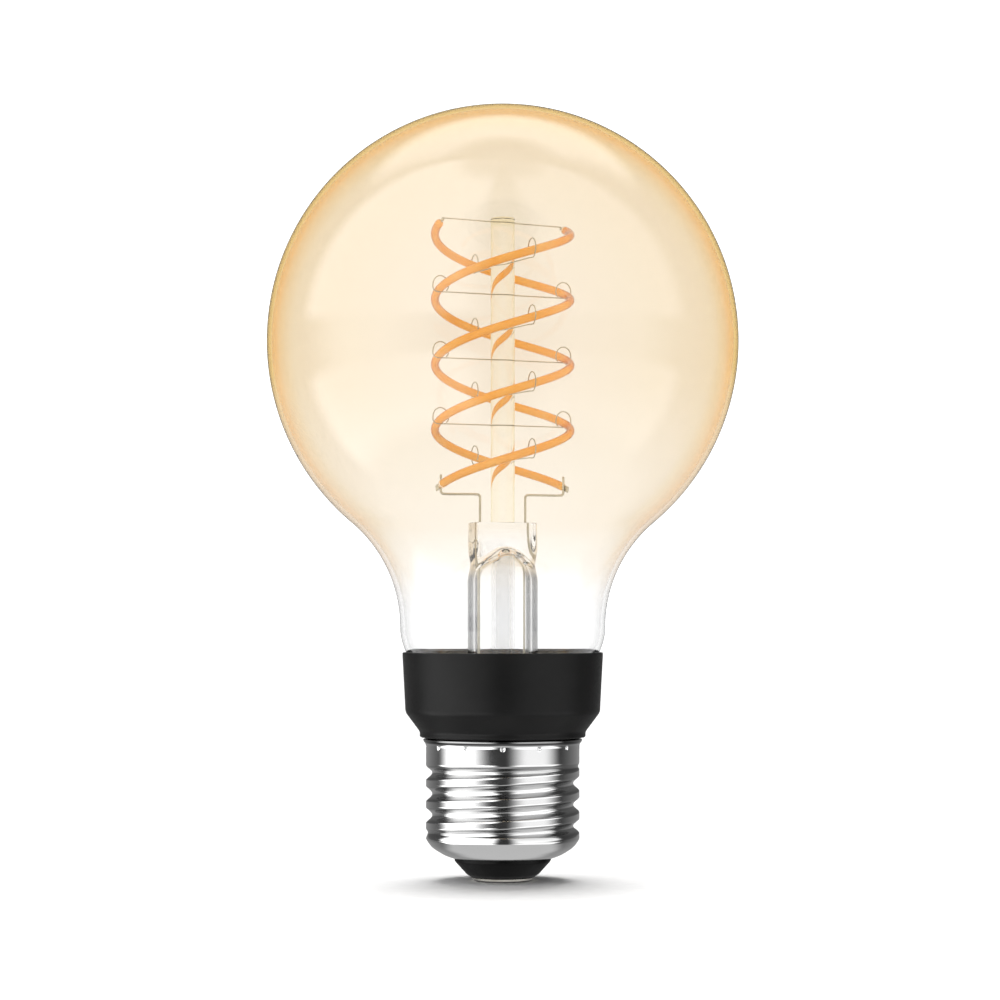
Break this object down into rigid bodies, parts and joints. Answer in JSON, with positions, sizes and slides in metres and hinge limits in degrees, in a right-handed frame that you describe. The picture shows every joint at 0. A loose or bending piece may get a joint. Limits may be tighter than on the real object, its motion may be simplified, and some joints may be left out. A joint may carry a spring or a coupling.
{
  "type": "smart light bulb",
  "caption": "Globe filament lamp: tinted glass ball with a double spiral of LED strands on a glass stem, black electronics collar and Edison screw cap.",
  "frame": {"origin": "middle of the flat face of the tip contact, the lowest point of the lamp", "axes": "+Z along the lamp's axis, from the tip contact up to the crown of the globe; +X to the right and -Y towards the viewer of the front, where the press of the glass stem is turned 25 degrees from +X"},
  "size_m": [0.0798, 0.0798, 0.1315],
  "materials": {
    "tinted_glass": "clear blown glass with a gold tint that fades out at the neck",
    "clear_glass": "clear drawn and pressed glass",
    "phosphor": "satin orange-yellow phosphor silicone",
    "nickel_wire": "drawn nickel wire, lightly oxidised",
    "collar_plastic": "matte black fine-textured moulding",
    "neck_cement": "cured white cement",
    "nickel_plate": "bright nickel plating",
    "black_glass": "glossy black moulded insulator",
    "contact_metal": "plated button, lightly worn",
    "circuit_board": "green solder mask",
    "chip_plastic": "black moulding compound",
    "tin_plate": "tinned sheet",
    "ferrite": "sintered dark grey",
    "copper": "enamelled copper",
    "capacitor_sleeve": "dark blue shrink sleeve",
    "film_dip": "yellow dipped coating",
    "varistor_lacquer": "blue dipped lacquer",
    "resistor_lacquer": "grey-green cement coating",
    "red_sleeve": "red wire insulation",
    "white_sleeve": "white wire insulation"
  },
  "bodies": {
    "root": {"glass_envelope": "tinted_glass", "stem_flare": "clear_glass", "exhaust_tube": "clear_glass", "centre_post": "clear_glass", "filament_strand_a": "phosphor", "filament_strand_b": "phosphor", "filament_tab_top_a": "nickel_wire", "filament_tab_top_b": "nickel_wire", "filament_tab_bottom_a": "nickel_wire", "filament_tab_bottom_b": "nickel_wire", "inner_lead_a": "nickel_wire", "inner_lead_b": "nickel_wire", "outer_lead_a": "nickel_wire", "outer_lead_b": "nickel_wire", "bridge_wire": "nickel_wire", "filament_support_1": "nickel_wire", "filament_support_2": "nickel_wire", "filament_support_3": "nickel_wire", "filament_support_4": "nickel_wire", "filament_support_5": "nickel_wire", "filament_support_6": "nickel_wire", "filament_support_7": "nickel_wire", "collar_housing": "collar_plastic", "neck_adhesive": "neck_cement", "screw_shell": "nickel_plate", "cap_insulator": "black_glass", "centre_contact": "contact_metal", "radio_board": "circuit_board", "driver_board": "circuit_board", "radio_shield_can": "tin_plate", "radio_crystal": "tin_plate", "antenna_strip": "tin_plate", "lead_terminal_a": "tin_plate", "lead_terminal_b": "tin_plate", "radio_power_chip": "chip_plastic", "board_header": "chip_plastic", "bridge_rectifier": "chip_plastic", "driver_ic": "chip_plastic", "header_pin_1": "copper", "header_pin_2": "copper", "header_pin_3": "copper", "header_pin_4": "copper", "inductor_winding": "copper", "bulk_capacitor": "capacitor_sleeve", "inductor_core": "ferrite", "filter_capacitor": "film_dip", "surge_varistor": "varistor_lacquer", "fusible_resistor": "resistor_lacquer", "live_wire": "red_sleeve", "neutral_wire": "white_sleeve"}
  },
  "joints": []
}
